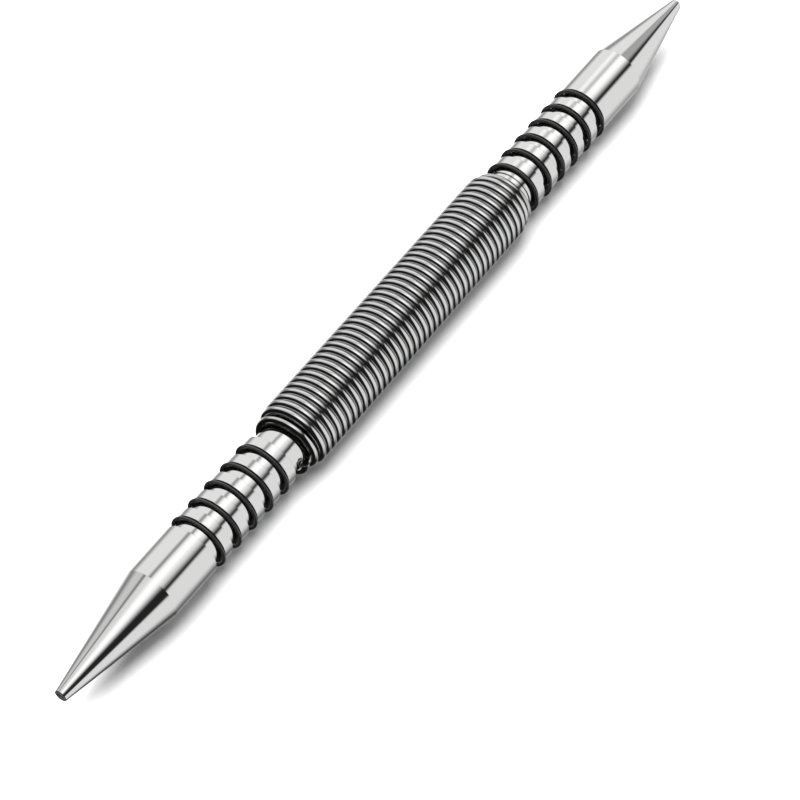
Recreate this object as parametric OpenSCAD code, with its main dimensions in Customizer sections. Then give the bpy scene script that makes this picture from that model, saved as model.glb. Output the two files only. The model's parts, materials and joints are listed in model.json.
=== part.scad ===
// Spring-driven center punch, lying on its side and resting on its spring.
// Two turned steel rods meet end to end inside a close-wound tension spring.
// Pulling one rod back stretches the spring. Letting it go drives the rods' inner ends together.
// The rods' axis runs along X. The origin is at the middle of the tool, on the surface it lies on.

/* [Rods] */
// Diameter of the plain shanks and of the lands between the grip grooves
rod_d = 9.5; // [9.4:0.1:10]
// Gap between the two striking faces at rest
strike_gap = 0.1; // [0.05:0.05:0.5]

/* [Cupped end] */
// Diameter of the flat tip face
cup_tip_d = 2.1; // [1.6:0.1:4]
// Length of the taper from the tip face to the shank
cup_taper_len = 21; // [12:0.5:30]
// Length of the plain shank
cup_shank_len = 9.62; // [4:0.01:30]
// Length of the bare neck between the last land and the spring
cup_neck_len = 3.1; // [2:0.01:6]
// Diameter of the cup in the tip face
cup_d = 1.2; // [0.6:0.1:1.3]
// Depth of the cup
cup_depth = 0.4; // [0.1:0.05:0.8]

/* [Plain end] */
// Diameter of the flat tip face
plain_tip_d = 1.95; // [1:0.05:4]
// Length of the taper from the tip face to the shank
plain_taper_len = 19.4; // [12:0.1:30]
// Length of the plain shank
plain_shank_len = 10.82; // [4:0.01:30]
// Length of the bare neck between the last land and the spring
plain_neck_len = 2.93; // [2:0.01:6]

/* [Grip] */
// Number of grip grooves on each rod
groove_count = 5; // [5:1:7]
// Width of a grip groove
groove_w = 2.18; // [1.6:0.02:4]
// Width of the land between two grooves
land_w = 1.77; // [1:0.01:4]
// Depth below the land of a grip groove
groove_depth = 0.8; // [0.5:0.05:0.9]
// Width of a rubber grip ring, along its groove
ring_w = 0.5; // [0.4:0.02:0.6]
// Thickness of a rubber grip ring, from its bore to its outside
ring_thick = 0.64; // [0.6:0.02:0.8]
// How much larger in radius a ring's bore is than the groove floor that it hangs on
ring_slack = 0.46; // [0.4:0.02:0.6]

/* [Spring] */
// Outside diameter of the spring
spring_d = 12; // [11.9:0.1:14]
// Diameter of the spring wire
wire_d = 1.35; // [1.1:0.05:1.35]
// Distance from one closed turn to the next
coil_pitch = 1.363; // [1.363:0.001:1.5]
// Number of turns, from one end of the wire to the other
spring_turns = 44.3; // [20:0.1:44.3]
// Depth below the land of the seat that holds the spring's narrow end turns
seat_depth = 0.85; // [0.8:0.05:1.2]
// Depth below the land of the neck
neck_depth = 0.7; // [0.5:0.05:0.75]

/* [Hidden] */
$fn = 128;

// Rods
rod_r = rod_d / 2;
groove_r = rod_r - groove_depth;
neck_r = rod_r - neck_depth;
seat_r = rod_r - seat_depth;
groove_pitch = groove_w + land_w;
grip_len = groove_count * groove_pitch;
land_chamfer = 0.08;
tip_chamfer = 0.1;

// Spring: its turn radii are measured to the middle of the wire
wire_r = wire_d / 2;
body_turn_r = spring_d / 2 - wire_r;
seat_clearance = 0.07;
end_turn_r = seat_r + wire_r + seat_clearance;
narrow_turns = 0.3;
widening_turns = 1.8;
first_turn_spread = 0.7;
spread_turns = 1.2;
steps_per_turn = 20;
spring_steps = round(spring_turns * steps_per_turn);
wire_sides = 6;
wire_start_angle = 180;
spring_len = spring_turns * coil_pitch;

// Striking end: the wide part of each rod inside the spring, behind the spring's narrow turns
strike_clearance = 0.34;
strike_r = body_turn_r - wire_r - strike_clearance;
strike_chamfer = 0.5;
turns_before_shoulder = 2.2;
shoulder_len = wire_r + turns_before_shoulder * coil_pitch;

// Places along X
cupped_outer_len = cup_taper_len + cup_shank_len + grip_len + cup_neck_len;
plain_outer_len = plain_taper_len + plain_shank_len + grip_len + plain_neck_len;
total_len = cupped_outer_len + spring_len + plain_outer_len;
cup_tip_x = -total_len / 2;
plain_tip_x = total_len / 2;
spring_x = cup_tip_x + cupped_outer_len;
axis_z = spring_d / 2;

// Grip rings: each one hangs on the floor of its groove, beside the groove's +X wall.
// ring_lean is how many degrees off straight down it hangs, towards +Y.
ring_edge_r = ring_w / 2;
ring_bore_r = groove_r + ring_slack;
ring_outer_r = ring_bore_r + ring_thick;
ring_squeeze = 0.02;
ring_wall_gap = 0.02;
ring_lean = 19;
ring_to_wall = ring_edge_r + ring_wall_gap;
cupped_wall_x = cup_tip_x + cup_taper_len + cup_shank_len + groove_w;
plain_wall_x = plain_tip_x - plain_taper_len - plain_shank_len - grip_len;

steel = [0.78, 0.79, 0.80];
wire_steel = [0.36, 0.36, 0.38];
rubber = [0.05, 0.05, 0.05];

// A solid turned about the X axis, at the height of the tool's axis, from [x, radius] points
module turned(outline) {
    translate([0, 0, axis_z])
        rotate([0, 90, 0])
            rotate_extrude()
                polygon([for (point = outline) [point[1], point[0]]]);
}

// One grip groove starting at x, and the chamfered edges of the lands on both sides of it
function groove_outline(x) = [
    [x - land_chamfer, rod_r],
    [x, rod_r - land_chamfer],
    [x, groove_r],
    [x + groove_w, groove_r],
    [x + groove_w, rod_r - land_chamfer],
    [x + groove_w + land_chamfer, rod_r]
];

// Everything on a rod from its tip face inwards, with x measured from the tip face.
// cup is [diameter, depth], and a depth of 0 leaves the face flat.
function rod_outline(tip_d, taper_len, shank_len, neck_len, cup) =
    let (
        tip_r = tip_d / 2,
        taper_slope = (rod_r - tip_r) / taper_len,
        grip_x = taper_len + shank_len,
        neck_x = grip_x + grip_len,
        seat_x = neck_x + neck_len - first_turn_spread - wire_r - seat_clearance,
        shoulder_x = neck_x + neck_len + shoulder_len,
        face_x = neck_x + neck_len + (spring_len - strike_gap) / 2
    )
    concat(
        cup[1] > 0 ? [[cup[1], 0], [0, cup[0] / 2]] : [[0, 0]],
        [[0, tip_r - tip_chamfer], [tip_chamfer, tip_r + tip_chamfer * taper_slope]],
        [[taper_len, rod_r]],
        [for (i = [0:groove_count - 1]) each groove_outline(grip_x + i * groove_pitch)],
        [[neck_x - land_chamfer, rod_r], [neck_x, rod_r - land_chamfer], [neck_x, neck_r]],
        [[seat_x, neck_r], [seat_x, seat_r]],
        [[shoulder_x, seat_r], [shoulder_x + strike_r - seat_r, strike_r]],
        [[face_x - strike_chamfer, strike_r], [face_x, strike_r - strike_chamfer], [face_x, 0]]
    );

module cupped_punch() {
    color(steel)
        translate([cup_tip_x, 0, 0])
            turned(rod_outline(cup_tip_d, cup_taper_len, cup_shank_len, cup_neck_len, [cup_d, cup_depth]));
}

module plain_punch() {
    color(steel)
        translate([plain_tip_x, 0, 0])
            mirror([1, 0, 0])
                turned(rod_outline(plain_tip_d, plain_taper_len, plain_shank_len, plain_neck_len, [0, 0]));
}

// A rubber ring beside the wall at wall_x, hanging on a round floor of this radius
module grip_ring(wall_x, floor_r) {
    drop = ring_bore_r - floor_r + ring_squeeze;
    color(rubber)
        translate([wall_x - ring_to_wall, drop * sin(ring_lean), axis_z - drop * cos(ring_lean)])
            rotate([0, 90, 0])
                rotate_extrude()
                    hull()
                        for (r = [ring_bore_r + ring_edge_r, ring_outer_r - ring_edge_r])
                            translate([r, 0])
                                circle(ring_edge_r, $fn = 48);
}

// Rings are numbered along +X
module cupped_grip_ring(number) {
    grip_ring(cupped_wall_x + (number - 1) * groove_pitch, groove_r);
}

// The first of these hangs on the neck, beside the first land
module plain_grip_ring(number) {
    grip_ring(plain_wall_x + (number - 1) * groove_pitch, number == 1 ? neck_r : groove_r);
}

function ease(t) =
    let (c = min(max(t, 0), 1))
    c * c * (3 - 2 * c);

// Radius of the turn at a number of turns along the wire: narrow at both ends, full between
function turn_r(turn) =
    let (from_end = min(turn, spring_turns - turn))
    end_turn_r + (body_turn_r - end_turn_r) * ease((from_end - narrow_turns) / widening_turns);

// Place of the middle of the wire along X: the first turn, at the cupped end, stands a little apart
function turn_x(turn) = spring_x + turn * coil_pitch - first_turn_spread * (1 - ease(turn / spread_turns));

// One corner of the wire's section, at a step along the wire
function wire_point(step, side) =
    let (
        turn = step / steps_per_turn,
        turn_angle = wire_start_angle + 360 * turn,
        side_angle = 360 * side / wire_sides,
        r = turn_r(turn) + wire_r * cos(side_angle)
    )
    [turn_x(turn) + wire_r * sin(side_angle), r * cos(turn_angle), r * sin(turn_angle)];

// Two triangles of the wire's skin, between a step and the next one
function wire_facets(step, side) =
    let (
        next_side = (side + 1) % wire_sides,
        a = step * wire_sides + side,
        b = step * wire_sides + next_side,
        c = a + wire_sides,
        d = b + wire_sides
    )
    [[a, b, d], [a, d, c]];

module tension_spring() {
    color(wire_steel)
        translate([0, 0, axis_z])
            polyhedron(
                points = [
                    for (step = [0:spring_steps]) for (side = [0:wire_sides - 1]) wire_point(step, side)
                ],
                faces = concat(
                    [for (step = [0:spring_steps - 1]) for (side = [0:wire_sides - 1])
                        each wire_facets(step, side)],
                    [[for (side = [wire_sides - 1:-1:0]) side]],
                    [[for (side = [0:wire_sides - 1]) spring_steps * wire_sides + side]]
                )
            );
}

cupped_punch();
cupped_grip_ring(1);  // cupped_grip_ring_1
cupped_grip_ring(2);  // cupped_grip_ring_2
cupped_grip_ring(3);  // cupped_grip_ring_3
cupped_grip_ring(4);  // cupped_grip_ring_4
cupped_grip_ring(5);  // cupped_grip_ring_5
tension_spring();
plain_grip_ring(1);  // plain_grip_ring_1
plain_grip_ring(2);  // plain_grip_ring_2
plain_grip_ring(3);  // plain_grip_ring_3
plain_grip_ring(4);  // plain_grip_ring_4
plain_grip_ring(5);  // plain_grip_ring_5
plain_grip_ring(6);  // plain_grip_ring_6
plain_punch();
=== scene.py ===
"""Looks of a spring-driven center punch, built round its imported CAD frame.

Metres throughout. +X runs along the rods from the cupped tip to the plain tip, and +Z is up.
Two turned steel rods, their rubber grip rings and the tension spring each replace their own CAD node.
"""

import json
import math

import bpy
import numpy as np
from mathutils import Matrix, Vector

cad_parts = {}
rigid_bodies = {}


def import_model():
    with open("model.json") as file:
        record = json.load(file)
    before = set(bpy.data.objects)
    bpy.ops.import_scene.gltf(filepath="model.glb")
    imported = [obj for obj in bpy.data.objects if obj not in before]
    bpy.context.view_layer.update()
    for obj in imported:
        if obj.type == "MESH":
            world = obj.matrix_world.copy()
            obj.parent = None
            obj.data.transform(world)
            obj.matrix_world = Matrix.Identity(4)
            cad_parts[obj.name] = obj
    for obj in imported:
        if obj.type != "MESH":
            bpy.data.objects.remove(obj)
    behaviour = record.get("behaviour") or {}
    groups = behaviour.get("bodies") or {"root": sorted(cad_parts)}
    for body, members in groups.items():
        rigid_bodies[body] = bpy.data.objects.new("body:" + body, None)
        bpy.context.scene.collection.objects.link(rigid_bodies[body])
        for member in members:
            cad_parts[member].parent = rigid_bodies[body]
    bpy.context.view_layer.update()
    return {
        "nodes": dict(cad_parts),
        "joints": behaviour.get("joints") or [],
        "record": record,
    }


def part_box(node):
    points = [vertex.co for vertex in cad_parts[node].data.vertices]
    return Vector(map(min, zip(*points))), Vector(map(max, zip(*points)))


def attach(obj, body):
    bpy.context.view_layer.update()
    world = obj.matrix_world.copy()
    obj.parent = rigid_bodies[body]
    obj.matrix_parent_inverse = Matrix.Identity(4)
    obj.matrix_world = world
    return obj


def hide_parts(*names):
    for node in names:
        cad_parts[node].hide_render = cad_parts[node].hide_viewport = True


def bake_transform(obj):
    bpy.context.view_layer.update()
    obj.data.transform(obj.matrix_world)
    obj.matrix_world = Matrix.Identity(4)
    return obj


MM = 0.001

# ------------------------------------------------------------------ the frame

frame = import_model()
mounts = {mount["name"]: mount for mount in frame["record"]["mounts"]}

CUPPED_RINGS = sorted(node for node in frame["nodes"] if node.startswith("cupped_grip_ring"))
PLAIN_RINGS = sorted(node for node in frame["nodes"] if node.startswith("plain_grip_ring"))
DRAW = frame["joints"][0]


def span(node):
    """Lowest and highest x of a CAD node."""
    low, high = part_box(node)
    return low.x, high.x


def widest_radius(node):
    """Radius about the tool's axis of a round CAD node."""
    low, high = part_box(node)
    return (high.y - low.y) / 2


AXIS_Z = mounts["cupped_shank"]["pos_m"][2]
ROD_R = mounts["cupped_shank"]["dims"]["r_mm"] * MM

# ------------------------------------------------------------------ sizes that the frame doesn't hold

RING_WALL_GAP = 0.02 * MM
RING_THICK = 0.64 * MM
GROOVE_W = 2.18 * MM
GROOVE_PITCH = span(CUPPED_RINGS[1])[0] - span(CUPPED_RINGS[0])[0]
LAND_W = GROOVE_PITCH - GROOVE_W
GROOVE_R = ROD_R - 0.8 * MM
NECK_R = ROD_R - 0.7 * MM
EDGE_ROUND = 0.07 * MM

CUPPED_TIP_R = 1.05 * MM
CUP_R = 0.6 * MM
CUP_DEPTH = 0.4 * MM
PLAIN_TIP_R = 0.975 * MM
TIP_ROUND = 0.12 * MM

WIRE_R = 0.675 * MM
WIRE_END_BEVEL = 0.06 * MM
WIRE_START_ANGLE = math.pi
SPRING_TURNS = 44.3
# At each end the wire starts narrow and widens to the body's width, and the stiff turns don't open.
NARROW_TURNS = 0.3
WIDENING_TURNS = 1.8
STIFF_TURNS = 2.2
# The cupped end's first turn stands this far from the others, and closes up over the spread turns.
FIRST_TURN_SPREAD = 0.7 * MM
SPREAD_TURNS = 1.2
# The end turns lie round a seat on each rod.
SEAT_CLEARANCE = 0.07 * MM
SEAT_R = ROD_R - 0.85 * MM

# The CAD wire is six-sided, and its highest point along X is this far from its middle.
CAD_WIRE_REACH = WIRE_R * math.sin(math.radians(60))
FIRST_TURN_X = span("tension_spring")[0] + CAD_WIRE_REACH
LAST_TURN_X = span("tension_spring")[1] - CAD_WIRE_REACH
SPRING_X = FIRST_TURN_X + FIRST_TURN_SPREAD
COIL_PITCH = (LAST_TURN_X - SPRING_X) / SPRING_TURNS
BODY_TURN_R = widest_radius("tension_spring") - WIRE_R
END_TURN_R = SEAT_R + SEAT_CLEARANCE + WIRE_R
STRIKE_R = BODY_TURN_R - WIRE_R - 0.34 * MM
STRIKE_ROUND = 0.5 * MM

ROUND_SEGMENTS = 256
WIRE_STEPS_PER_TURN = 60
WIRE_SIDES = 20


# ------------------------------------------------------------------ mesh tools

def new_object(name, mesh, sharp_degrees):
    """Links a mesh as a smooth object with a crisp edge wherever it bends by more than sharp_degrees."""
    mesh.validate()
    for polygon in mesh.polygons:
        polygon.use_smooth = True
    mesh.set_sharp_from_angle(angle=math.radians(sharp_degrees))
    obj = bpy.data.objects.new(name, mesh)
    bpy.context.scene.collection.objects.link(obj)
    return obj


def turned(name, outline):
    """A closed solid turned about the tool's axis from (x, radius) points that start and end on the axis."""
    vertices, rings = [], []
    for x, radius in outline:
        if radius == 0:
            rings.append([len(vertices)])
            vertices.append((x, 0.0, AXIS_Z))
            continue
        rings.append(list(range(len(vertices), len(vertices) + ROUND_SEGMENTS)))
        for step in range(ROUND_SEGMENTS):
            angle = 2 * math.pi * step / ROUND_SEGMENTS
            vertices.append((x, radius * math.cos(angle), AXIS_Z + radius * math.sin(angle)))
    faces = []
    for near, far in zip(rings, rings[1:]):
        for step in range(ROUND_SEGMENTS):
            after = (step + 1) % ROUND_SEGMENTS
            if len(near) == 1:
                faces.append((near[0], far[after], far[step]))
            elif len(far) == 1:
                faces.append((near[step], near[after], far[0]))
            else:
                faces.append((near[step], near[after], far[after], far[step]))
    mesh = bpy.data.meshes.new(name)
    mesh.from_pydata(vertices, [], faces)
    return new_object(name, mesh, sharp_degrees=5.0)


def rounded(points, radius, steps=4):
    """The same outline with each inner corner rounded off by a curve that starts radius away from it."""
    result = [points[0]]
    for before, corner, after in zip(points, points[1:], points[2:]):
        before, corner, after = Vector(before), Vector(corner), Vector(after)
        to_before, to_after = before - corner, after - corner
        reach = min(radius, 0.45 * to_before.length, 0.45 * to_after.length)
        start = corner + to_before.normalized() * reach
        end = corner + to_after.normalized() * reach
        for step in range(steps + 1):
            t = step / steps
            point = (1 - t) ** 2 * start + 2 * t * (1 - t) * corner + t**2 * end
            result.append(tuple(point))
    result.append(points[-1])
    return result


# ------------------------------------------------------------------ pieces

def lands_and_grooves(groove_walls):
    """Outline points of the grooves that end at these x positions, each with its two land edges."""
    points = []
    for wall in groove_walls:
        start = wall - GROOVE_W
        points += rounded([(start - LAND_W / 3, ROD_R), (start, ROD_R), (start, GROOVE_R)], EDGE_ROUND)[1:]
        points += rounded([(wall, GROOVE_R), (wall, ROD_R), (wall + LAND_W / 3, ROD_R)], EDGE_ROUND)[:-1]
    return points


def ring_walls(rings):
    """Where the groove walls are that the grip rings hang beside."""
    return [span(ring)[1] + RING_WALL_GAP for ring in rings]


def cupped_tip(tip_x, shank_x):
    """Outline of the tip face with its round cup, and the edge round it."""
    sphere_r = (CUP_R**2 + CUP_DEPTH**2) / (2 * CUP_DEPTH)
    centre_x = tip_x + CUP_DEPTH - sphere_r
    half_angle = math.asin(CUP_R / sphere_r)
    cup_steps = 10
    cup = [(tip_x + CUP_DEPTH, 0)]
    for step in range(1, cup_steps + 1):
        angle = half_angle * step / cup_steps
        cup.append((centre_x + sphere_r * math.cos(angle), sphere_r * math.sin(angle)))
    face = [cup[-1], (tip_x, CUPPED_TIP_R), (shank_x, ROD_R)]
    return cup[:-1] + rounded(face, TIP_ROUND)[:-1]


def spring_end(neck_x, seat_x, shoulder_x, face_x):
    """Outline from the last land, down to the neck, to the striking face."""
    taper = STRIKE_R - SEAT_R
    neck = [(neck_x - LAND_W / 3, ROD_R), (neck_x, ROD_R), (neck_x, NECK_R)]
    seat = [(seat_x, NECK_R), (seat_x, SEAT_R), (shoulder_x, SEAT_R), (shoulder_x + taper, STRIKE_R)]
    face = [(face_x - 2 * STRIKE_ROUND, STRIKE_R), (face_x, STRIKE_R), (face_x, STRIKE_R / 2)]
    return rounded(neck, EDGE_ROUND)[1:] + seat + rounded(face, STRIKE_ROUND, steps=8)[1:-1] + [(face_x, 0)]


def mirrored(outline):
    """The same outline seen from the other end, so that a rod can be drawn tip first at either end."""
    return [(-x, radius) for x, radius in reversed(outline)]


def cupped_rod():
    tip_x, face_x = span("cupped_punch")
    shank = mounts["cupped_shank"]
    shank_x = shank["pos_m"][0] - shank["dims"]["length_mm"] * MM / 2
    walls = ring_walls(CUPPED_RINGS)
    neck_x = walls[-1] + LAND_W
    seat_x = FIRST_TURN_X - WIRE_R - SEAT_CLEARANCE
    shoulder_x = SPRING_X + WIRE_R + STIFF_TURNS * COIL_PITCH
    outline = cupped_tip(tip_x, shank_x) + [(shank_x, ROD_R)] + lands_and_grooves(walls)
    outline += spring_end(neck_x, seat_x, shoulder_x, face_x)
    return turned("cupped_punch_steel", outline)


def plain_rod():
    face_x, tip_x = span("plain_punch")
    shank = mounts["plain_shank"]
    shank_x = shank["pos_m"][0] + shank["dims"]["length_mm"] * MM / 2
    walls = ring_walls(PLAIN_RINGS)
    seat_x = LAST_TURN_X + FIRST_TURN_SPREAD + WIRE_R + SEAT_CLEARANCE
    shoulder_x = LAST_TURN_X - WIRE_R - STIFF_TURNS * COIL_PITCH
    inner = mirrored(spring_end(-walls[0], -seat_x, -shoulder_x, -face_x))
    tip = rounded([(shank_x, ROD_R), (tip_x, PLAIN_TIP_R), (tip_x, 0)], TIP_ROUND)
    return turned("plain_punch_steel", inner + lands_and_grooves(walls[1:]) + tip)


def grip_ring(node):
    """A thin rubber ring with rounded edges, that hangs a little below the tool's axis."""
    low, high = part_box(node)
    middle = (low + high) / 2
    edge_r = (high.x - low.x) / 2
    outer_edge_r = widest_radius(node) - edge_r
    inner_edge_r = widest_radius(node) - RING_THICK + edge_r
    section_steps = 32
    vertices, faces = [], []
    for step in range(ROUND_SEGMENTS):
        angle = 2 * math.pi * step / ROUND_SEGMENTS
        for side in range(section_steps):
            side_angle = 2 * math.pi * (side + 0.5) / section_steps
            outwards = math.cos(side_angle)
            radius = (outer_edge_r if outwards > 0 else inner_edge_r) + edge_r * outwards
            x = middle.x + edge_r * math.sin(side_angle)
            vertices.append((x, middle.y + radius * math.cos(angle), middle.z + radius * math.sin(angle)))
            after = (step + 1) % ROUND_SEGMENTS
            next_side = (side + 1) % section_steps
            faces.append((
                step * section_steps + side,
                after * section_steps + side,
                after * section_steps + next_side,
                step * section_steps + next_side,
            ))
    mesh = bpy.data.meshes.new(node + "_rubber")
    mesh.from_pydata(vertices, [], faces)
    return new_object(node + "_rubber", mesh, sharp_degrees=60.0)


def ease(t):
    t = min(max(t, 0.0), 1.0)
    return t * t * (3 - 2 * t)


def turn_radius(turn):
    """Radius of the middle of the wire at this many turns from its start."""
    from_end = min(turn, SPRING_TURNS - turn)
    return END_TURN_R + (BODY_TURN_R - END_TURN_R) * ease((from_end - NARROW_TURNS) / WIDENING_TURNS)


def wire_centre(turn):
    """Middle of the wire at this many turns. The first turn stands a little apart."""
    angle = WIRE_START_ANGLE + 2 * math.pi * turn
    radius = turn_radius(turn)
    return Vector((
        FIRST_TURN_X + COIL_PITCH * turn + FIRST_TURN_SPREAD * ease(turn / SPREAD_TURNS),
        radius * math.cos(angle),
        AXIS_Z + radius * math.sin(angle),
    ))


def wire_section(turn, radius):
    """Corners of the round wire's section at this many turns, square to the wire."""
    small = 1e-4
    centre = wire_centre(turn)
    along = (wire_centre(turn + small) - wire_centre(turn - small)).normalized()
    outward = (centre - Vector((centre.x, 0, AXIS_Z))).normalized()
    sideways = along.cross(outward).normalized()
    outward = sideways.cross(along)
    corners = []
    for side in range(WIRE_SIDES):
        angle = 2 * math.pi * side / WIRE_SIDES
        corners.append(centre + radius * (math.cos(angle) * outward + math.sin(angle) * sideways))
    return corners


def sections_along_the_wire():
    """Where each section of the wire lies, in turns, and its radius. The two cut ends are bevelled."""
    steps = round(SPRING_TURNS * WIRE_STEPS_PER_TURN)
    bevel_turns = WIRE_END_BEVEL / (2 * math.pi * END_TURN_R)
    start = [(0.0, WIRE_R - WIRE_END_BEVEL), (bevel_turns, WIRE_R)]
    end = [(SPRING_TURNS - bevel_turns, WIRE_R), (SPRING_TURNS, WIRE_R - WIRE_END_BEVEL)]
    return start + [(SPRING_TURNS * step / steps, WIRE_R) for step in range(1, steps)] + end


def spring():
    """The spring's wire, swept along its winding, and the share of the draw that each corner follows."""
    vertices, shares = [], []
    for turn, radius in sections_along_the_wire():
        vertices += wire_section(turn, radius)
        free = (turn - STIFF_TURNS) / (SPRING_TURNS - 2 * STIFF_TURNS)
        shares += [min(max(free, 0.0), 1.0)] * WIRE_SIDES
    last = len(vertices) - WIRE_SIDES
    faces = []
    for section in range(0, last, WIRE_SIDES):
        for side in range(WIRE_SIDES):
            a = section + side
            b = section + (side + 1) % WIRE_SIDES
            faces.append((a, b, b + WIRE_SIDES, a + WIRE_SIDES))
    faces.append(tuple(reversed(range(WIRE_SIDES))))
    faces.append(tuple(range(last, last + WIRE_SIDES)))
    mesh = bpy.data.meshes.new("tension_spring_wire")
    mesh.from_pydata(vertices, [], faces)
    return new_object("tension_spring_wire", mesh, sharp_degrees=35.0), shares


def open_with_the_draw(obj):
    """Bakes the spring's placement into its mesh; nothing here opens its turns with the draw."""
    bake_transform(obj)


# ------------------------------------------------------------------ materials

class NodeMaths:
    """Shorthand for maths nodes in one node tree. Each call returns the new node's output."""

    def __init__(self, tree):
        self.tree = tree

    def __call__(self, operation, *values, clamp=False):
        node = self.tree.nodes.new("ShaderNodeMath")
        node.operation = operation
        node.use_clamp = clamp
        for socket, value in zip(node.inputs, values):
            self.feed(socket, value)
        return node.outputs[0]

    def feed(self, socket, value):
        if isinstance(value, (int, float)):
            socket.default_value = value
        else:
            self.tree.links.new(value, socket)

    def smooth(self, value, low, high):
        """0 where value is at low, 1 where it is at high, and an eased ramp between."""
        node = self.tree.nodes.new("ShaderNodeMapRange")
        node.interpolation_type = "SMOOTHSTEP"
        self.feed(node.inputs["Value"], value)
        self.feed(node.inputs["From Min"], low)
        self.feed(node.inputs["From Max"], high)
        return node.outputs["Result"]

    def bump(self, value, centre, half_width):
        """1 at centre, and an eased fall to 0 at half_width on both sides."""
        distance = self("ABSOLUTE", self("SUBTRACT", value, centre))
        return self("SUBTRACT", 1.0, self.smooth(distance, 0.0, half_width))

    def mix(self, a, b, share):
        return self("ADD", a, self("MULTIPLY", self("SUBTRACT", b, a), share))


def new_material(name):
    material = bpy.data.materials.new(name)
    material.use_nodes = True
    tree = material.node_tree
    return material, tree, tree.nodes["Principled BSDF"]


def place(tree):
    """x of the point being shaded and its distance from the tool's axis, in metres."""
    maths = NodeMaths(tree)
    coordinates = tree.nodes.new("ShaderNodeTexCoord")
    parts = tree.nodes.new("ShaderNodeSeparateXYZ")
    tree.links.new(coordinates.outputs["Object"], parts.inputs[0])
    x, y, z = parts.outputs
    height = maths("SUBTRACT", z, AXIS_Z)
    from_axis = maths("SQRT", maths("ADD", maths("MULTIPLY", y, y), maths("MULTIPLY", height, height)))
    return x, from_axis


def noise_along(tree, value, scale):
    """One-dimensional noise that only changes with value."""
    node = tree.nodes.new("ShaderNodeTexNoise")
    node.noise_dimensions = "1D"
    node.inputs["Scale"].default_value = scale
    node.inputs["Detail"].default_value = 2.0
    tree.links.new(value, node.inputs["W"])
    return node.outputs["Fac"]


def noise_in_space(tree, scale):
    """Noise in three dimensions, fixed to the piece."""
    node = tree.nodes.new("ShaderNodeTexNoise")
    node.inputs["Scale"].default_value = scale
    node.inputs["Detail"].default_value = 3.0
    coordinates = tree.nodes.new("ShaderNodeTexCoord")
    tree.links.new(coordinates.outputs["Object"], node.inputs["Vector"])
    return node.outputs["Fac"]


def bump_from(tree, shader, height, distance, strength):
    node = tree.nodes.new("ShaderNodeBump")
    node.inputs["Distance"].default_value = distance
    node.inputs["Strength"].default_value = strength
    tree.links.new(height, node.inputs["Height"])
    tree.links.new(node.outputs["Normal"], shader.inputs["Normal"])


def shade_of(tree, shader, socket_name, dark, light, share):
    """Feeds a colour socket with a mix of two colours."""
    mix = tree.nodes.new("ShaderNodeMix")
    mix.data_type = "RGBA"
    mix.inputs["A"].default_value = (*dark, 1)
    mix.inputs["B"].default_value = (*light, 1)
    tree.links.new(share, mix.inputs["Factor"])
    tree.links.new(mix.outputs["Result"], shader.inputs[socket_name])


def polished_steel():
    """Polished bar with faint lines round it from the turning. Its end faces are ground and dull."""
    material, tree, shader = new_material("polished_rod_steel")
    maths = NodeMaths(tree)
    x, from_axis = place(tree)
    polished = maths.smooth(from_axis, PLAIN_TIP_R - TIP_ROUND, PLAIN_TIP_R)
    tree.links.new(polished, shader.inputs["Metallic"])
    fine_lines = noise_along(tree, x, scale=9000.0)
    smudges = maths.smooth(noise_in_space(tree, scale=260.0), 0.55, 0.8)
    roughness = maths("ADD", 0.015, maths("MULTIPLY", fine_lines, 0.02))
    roughness = maths("ADD", roughness, maths("MULTIPLY", smudges, 0.04))
    tree.links.new(maths.mix(0.5, roughness, polished), shader.inputs["Roughness"])
    shade = maths("MULTIPLY", polished, maths.mix(0.85, 1.0, fine_lines))
    shade_of(tree, shader, "Base Color", dark=(0.07, 0.07, 0.07), light=(0.68, 0.68, 0.675), share=shade)
    bump_from(tree, shader, fine_lines, distance=0.002 * MM, strength=0.08)
    return material


def spring_steel():
    """Drawn wire with fine lines along it, and painted shade that darkens it deep between the turns."""
    material, tree, shader = new_material("drawn_spring_wire")
    maths = NodeMaths(tree)
    _, from_axis = place(tree)
    shader.inputs["Metallic"].default_value = 1.0
    # Painted shade: the wire's colour darkens on the inner side of each turn, towards the axis, where the
    # turns shade each other.
    clear_of_painted_shade = maths.smooth(from_axis, BODY_TURN_R - 0.4 * WIRE_R, BODY_TURN_R + 0.4 * WIRE_R)
    streaks = noise_along(tree, from_axis, scale=60000.0)
    patches = noise_in_space(tree, scale=900.0)
    shade_of(tree, shader, "Base Color", dark=(0.40, 0.39, 0.38), light=(0.59, 0.59, 0.59), share=clear_of_painted_shade)
    roughness = maths("ADD", 0.05, maths("MULTIPLY", streaks, 0.04))
    roughness = maths("ADD", roughness, maths("MULTIPLY", patches, 0.04))
    tree.links.new(roughness, shader.inputs["Roughness"])
    bump_from(tree, shader, streaks, distance=0.006 * MM, strength=0.1)
    return material


def grip_rubber():
    """Smooth moulded black rubber with a slight gloss and a few dull scuffs."""
    material, tree, shader = new_material("black_grip_rubber")
    maths = NodeMaths(tree)
    grain = noise_in_space(tree, scale=4200.0)
    scuffs = noise_in_space(tree, scale=500.0)
    black, dark_grey = (0.012, 0.012, 0.012), (0.026, 0.026, 0.026)
    shade_of(tree, shader, "Base Color", dark=black, light=dark_grey, share=scuffs)
    roughness = maths("ADD", 0.16, maths("MULTIPLY", scuffs, 0.12))
    tree.links.new(roughness, shader.inputs["Roughness"])
    bump_from(tree, shader, grain, distance=0.015 * MM, strength=0.08)
    return material


# ------------------------------------------------------------------ studio

# The tent's light is set by the direction it comes from, in degrees.
# around: 0 is straight up, positive towards -Y (the side away from the key light), 90 the horizon there.
# along: 0 is square to the tool, and positive leans towards +X.
# _RAMP is where an eased step starts and ends, and _BUMP is the middle and the reach of an eased hump.
TENT_R = 3.0
FULL_TURN_FROM = -150

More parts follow.
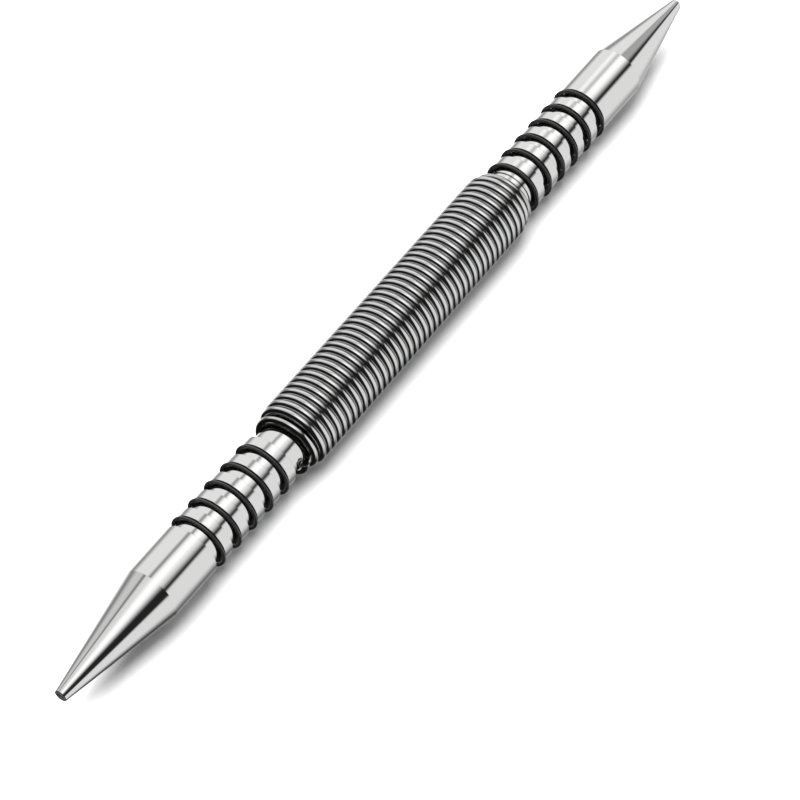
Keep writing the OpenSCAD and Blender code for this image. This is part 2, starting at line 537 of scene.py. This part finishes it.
# Dark gaps between the lit surfaces, and the darkness behind the camera and past the far end
ROOM = 0.024
NIGHT = 0.012
LIT_FROM_ALONG_RAMP = (-12.0, -4.0)
LIT_TO_ALONG_RAMP = (62.0, 75.0)

# The ceiling is dimmer at the far end, and its right edge bulges to the right at one place.
CEILING = 1.05
FAR_CEILING = 0.56
FAR_CEILING_ALONG_RAMP = (42.0, 56.0)
CEILING_EDGE = 20.0
CEILING_EDGE_WIDTH = 25.0
CEILING_BULGE = 7.0
CEILING_BULGE_ALONG_BUMP = (24.0, 16.0)

# The lamp on the ceiling stops short of the far end.
LAMP = 0.6
LAMP_AROUND_BUMP = (6.0, 26.0)
LAMP_END_ALONG_RAMP = (40.0, 54.0)

# The gap between the left wall and the ceiling swings away from the top as it comes near.
WALL_GAP = 0.2
WALL_GAP_AROUND = -10.0
WALL_GAP_SWING = -36.0
WALL_GAP_SWING_LENGTH = 18.0
WALL_GAP_REACH = 12.0
WALL_GAP_DEPTH = (0.85, 0.3)
WALL_GAP_ALONG_RAMP = (15.0, 42.0)

# The left wall has one bright corner, and a gap at its foot that dips at one place.
NEAR_LEFT_WALL = 0.85
LEFT_WALL = 1.15
LEFT_WALL_ALONG_RAMP = (4.0, 22.0)
CORNER = 0.3
CORNER_AROUND_BUMP = (-34.0, 14.0)
CORNER_ALONG_BUMP = (38.0, 12.0)
TABLE_LEFT = 1.4
TABLE_LEFT_AROUND_RAMP = (-125.0, -85.0)
FOOT_GAP = 0.1
FOOT_GAP_DEPTH = 0.75
FOOT_GAP_AROUND = -93.0
FOOT_GAP_REACH = 28.0
FOOT_GAP_DIP = 17.0
FOOT_GAP_DIP_ALONG_BUMP = (30.0, 28.0)

# The table to the right starts at an edge that curves away nearby, and carries the tool's shadow.
TABLE = 1.08
TABLE_EDGE = 47.0
TABLE_EDGE_WIDTH = 14.0
TABLE_EDGE_BEND_ALONG = 36.0
TABLE_EDGE_CURVE = 1 / 55
SHADOW_DEPTH = 1.18
SHADOW_FADE_ALONG = 0.0155
SHADOW_START_AROUND_RAMP = (118.0, 164.0)
SHADOW_END_AROUND_RAMP = (162.0, 200.0)
SHADOW_END_LIFT = 0.4


def ceiling_light(maths, along, around):
    """The bright panel overhead with its lamp, fading out towards its right edge."""
    light = maths.mix(CEILING, FAR_CEILING, maths.smooth(along, *FAR_CEILING_ALONG_RAMP))
    near_lamp = maths("SUBTRACT", 1.0, maths.smooth(along, *LAMP_END_ALONG_RAMP))
    lamp = maths("MULTIPLY", maths.bump(around, *LAMP_AROUND_BUMP), near_lamp)
    light = maths("ADD", light, maths("MULTIPLY", lamp, LAMP))
    bulge = maths("MULTIPLY", maths.bump(along, *CEILING_BULGE_ALONG_BUMP), CEILING_BULGE)
    edge = maths("ADD", CEILING_EDGE, bulge)
    return maths.mix(light, ROOM, maths.smooth(around, edge, maths("ADD", edge, CEILING_EDGE_WIDTH)))


def left_light(maths, along, around):
    """The left wall, and the table below it past a dark gap."""
    wall = maths.mix(NEAR_LEFT_WALL, LEFT_WALL, maths.smooth(along, *LEFT_WALL_ALONG_RAMP))
    corner = maths("MULTIPLY", maths.bump(around, *CORNER_AROUND_BUMP), maths.bump(along, *CORNER_ALONG_BUMP))
    wall = maths("ADD", wall, maths("MULTIPLY", corner, CORNER))
    light = maths.mix(TABLE_LEFT, wall, maths.smooth(around, *TABLE_LEFT_AROUND_RAMP))
    dip = maths("MULTIPLY", maths.bump(along, *FOOT_GAP_DIP_ALONG_BUMP), FOOT_GAP_DIP)
    gap = maths.bump(around, maths("SUBTRACT", FOOT_GAP_AROUND, dip), FOOT_GAP_REACH)
    return maths.mix(light, FOOT_GAP, maths("MULTIPLY", gap, FOOT_GAP_DEPTH))


def right_light(maths, along, around):
    """The table to the right, and the shadow on it beneath the tool."""
    depth = maths("SUBTRACT", SHADOW_DEPTH, maths("MULTIPLY", along, SHADOW_FADE_ALONG))
    start = maths.smooth(around, *SHADOW_START_AROUND_RAMP)
    lift = maths("MULTIPLY", maths.smooth(around, *SHADOW_END_AROUND_RAMP), SHADOW_END_LIFT)
    shadow = maths("MULTIPLY", maths("MULTIPLY", start, depth), maths("SUBTRACT", 1.0, lift), clamp=True)
    return maths.mix(TABLE, ROOM, shadow)


def directions(tree, maths):
    """along and around of the direction in which the tent's point lies."""
    position = tree.nodes.new("ShaderNodeNewGeometry").outputs["Position"]
    direction = tree.nodes.new("ShaderNodeVectorMath")
    direction.operation = "NORMALIZE"
    tree.links.new(position, direction.inputs[0])
    parts = tree.nodes.new("ShaderNodeSeparateXYZ")
    tree.links.new(direction.outputs[0], parts.inputs[0])
    x, y, z = parts.outputs
    degrees = 180 / math.pi
    along = maths("MULTIPLY", maths("ARCSINE", x), degrees)
    around = maths("MULTIPLY", maths("ARCTAN2", maths("MULTIPLY", y, -1.0), z), degrees)
    return along, maths("WRAP", around, FULL_TURN_FROM + 360, FULL_TURN_FROM)


def tent_light(tree):
    """How bright the studio is in each direction: a ceiling, a left wall and the table, with dark gaps where
    they don't meet, and an unlit room behind the camera."""
    maths = NodeMaths(tree)
    along, around = directions(tree, maths)

    swing = maths("EXPONENT", maths("MULTIPLY", along, -1 / WALL_GAP_SWING_LENGTH))
    gap_around = maths("ADD", WALL_GAP_AROUND, maths("MULTIPLY", WALL_GAP_SWING, swing))
    gap_start = maths("SUBTRACT", gap_around, WALL_GAP_REACH / 2)
    gap_end = maths("ADD", gap_around, WALL_GAP_REACH / 2)
    left = left_light(maths, along, around)
    ceiling = ceiling_light(maths, along, around)
    light = maths.mix(left, ceiling, maths.smooth(around, gap_start, gap_end))
    gap_depth = maths.mix(*WALL_GAP_DEPTH, maths.smooth(along, *WALL_GAP_ALONG_RAMP))
    gap = maths("MULTIPLY", maths.bump(around, gap_around, WALL_GAP_REACH), gap_depth)
    light = maths.mix(light, WALL_GAP, gap)

    before_bend = maths("MINIMUM", maths("SUBTRACT", along, TABLE_EDGE_BEND_ALONG), 0.0)
    curve = maths("MULTIPLY", maths("MULTIPLY", before_bend, before_bend), TABLE_EDGE_CURVE)
    table_start = maths("ADD", TABLE_EDGE, curve)
    table_end = maths("ADD", table_start, TABLE_EDGE_WIDTH)
    right = right_light(maths, along, around)
    light = maths.mix(light, right, maths.smooth(around, table_start, table_end))

    light = maths.mix(NIGHT, light, maths.smooth(along, *LIT_FROM_ALONG_RAMP))
    return maths.mix(light, NIGHT, maths.smooth(along, *LIT_TO_ALONG_RAMP))


def tent_mesh():
    """A sphere round the tool, made of rows of four-sided faces."""
    mesh = bpy.data.meshes.new("studio_tent")
    rows, columns = 48, 48
    vertices, faces = [], []
    for row in range(rows + 1):
        rise = math.pi * (row / rows - 0.5)
        for column in range(columns):
            turn = 2 * math.pi * column / columns
            vertices.append((
                TENT_R * math.cos(rise) * math.cos(turn),
                TENT_R * math.cos(rise) * math.sin(turn),
                TENT_R * math.sin(rise),
            ))
    for row in range(rows):
        for column in range(columns):
            after = (column + 1) % columns
            faces.append((
                row * columns + column,
                (row + 1) * columns + column,
                (row + 1) * columns + after,
                row * columns + after,
            ))
    mesh.from_pydata(vertices, [], faces)
    mesh.validate()
    return mesh


def tent():
    """The sphere lights the tool and shows in its reflections, but not to the camera."""
    mesh = tent_mesh()
    dome = bpy.data.objects.new("studio_tent", mesh)
    bpy.context.scene.collection.objects.link(dome)
    material = bpy.data.materials.new("studio_tent_light")
    material.use_nodes = True
    tree = material.node_tree
    tree.nodes.clear()
    emission = tree.nodes.new("ShaderNodeEmission")
    output = tree.nodes.new("ShaderNodeOutputMaterial")
    tree.links.new(tent_light(tree), emission.inputs["Strength"])
    tree.links.new(emission.outputs[0], output.inputs["Surface"])
    mesh.materials.append(material)
    dome.visible_camera = False


def floor():
    """A plain white table top."""
    half = TENT_R * 4
    mesh = bpy.data.meshes.new("floor")
    corners = [(-half, -half, 0), (half, -half, 0), (half, half, 0), (-half, half, 0)]
    mesh.from_pydata(corners, [], [(0, 1, 2, 3)])
    obj = bpy.data.objects.new("floor", mesh)
    bpy.context.scene.collection.objects.link(obj)
    material, tree, shader = new_material("white_table")
    shader.inputs["Base Color"].default_value = (0.9, 0.9, 0.9, 1)
    shader.inputs["Roughness"].default_value = 0.9
    shader.inputs["Specular IOR Level"].default_value = 0.0
    mesh.materials.append(material)
    obj.visible_glossy = False


def soft_light(name, location, size, energy):
    """A broad round light aimed at the tool. It lights the table and isn't seen in the steel."""
    data = bpy.data.lights.new(name, "AREA")
    data.shape = "DISK"
    data.size = size
    data.energy = energy
    light = bpy.data.objects.new(name, data)
    light.location = location
    light.rotation_euler = (-light.location).to_track_quat("-Z", "Y").to_euler()
    light.visible_glossy = False
    bpy.context.scene.collection.objects.link(light)


def background():
    """White all round, for views that look past the table's edge, with colours shown as they are."""
    world = bpy.data.worlds.new("white_background")
    world.use_nodes = True
    world.node_tree.nodes["Background"].inputs["Color"].default_value = (1, 1, 1, 1)
    bpy.context.scene.world = world
    bpy.context.scene.view_settings.view_transform = "Standard"


def camera():
    """The photographer's place: above the cupped end, looking down along the tool."""
    data = bpy.data.cameras.new("camera")
    data.sensor_width = 36.0
    data.lens = 125.4
    data.clip_start = 0.01
    data.clip_end = 100.0
    obj = bpy.data.objects.new("camera", data)
    location = Vector((-0.2189, -0.1547, 0.35295))
    looking = Vector((0.4809, 0.3383, -0.8088)).normalized()
    right = looking.cross(Vector((0, 0, 1))).normalized()
    up = right.cross(looking)
    turn = Matrix((right, up, -looking)).transposed()
    obj.matrix_world = Matrix.Translation(location) @ turn.to_4x4()
    bpy.context.scene.collection.objects.link(obj)
    bpy.context.scene.camera = obj


# ------------------------------------------------------------------ assembly

def stand_for(obj, node, material):
    """obj is shown in place of the CAD node, with this material."""
    obj.data.materials.append(material)
    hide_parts(node)


def build():
    steel, wire, rubber = polished_steel(), spring_steel(), grip_rubber()
    halves = (
        (cupped_rod(), "cupped_punch", CUPPED_RINGS, DRAW["parent"]),
        (plain_rod(), "plain_punch", PLAIN_RINGS, DRAW["child"]),
    )
    for rod, node, rings, body in halves:
        stand_for(rod, node, steel)
        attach(rod, body)
        for ring_node in rings:
            ring = grip_ring(ring_node)
            stand_for(ring, ring_node, rubber)
            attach(ring, body)
    wound, shares = spring()
    stand_for(wound, "tension_spring", wire)
    open_with_the_draw(wound)


build()
tent()
floor()
soft_light("key_light", (-0.05, 0.3, 1.0), size=1.3, energy=32.0)
background()
camera()
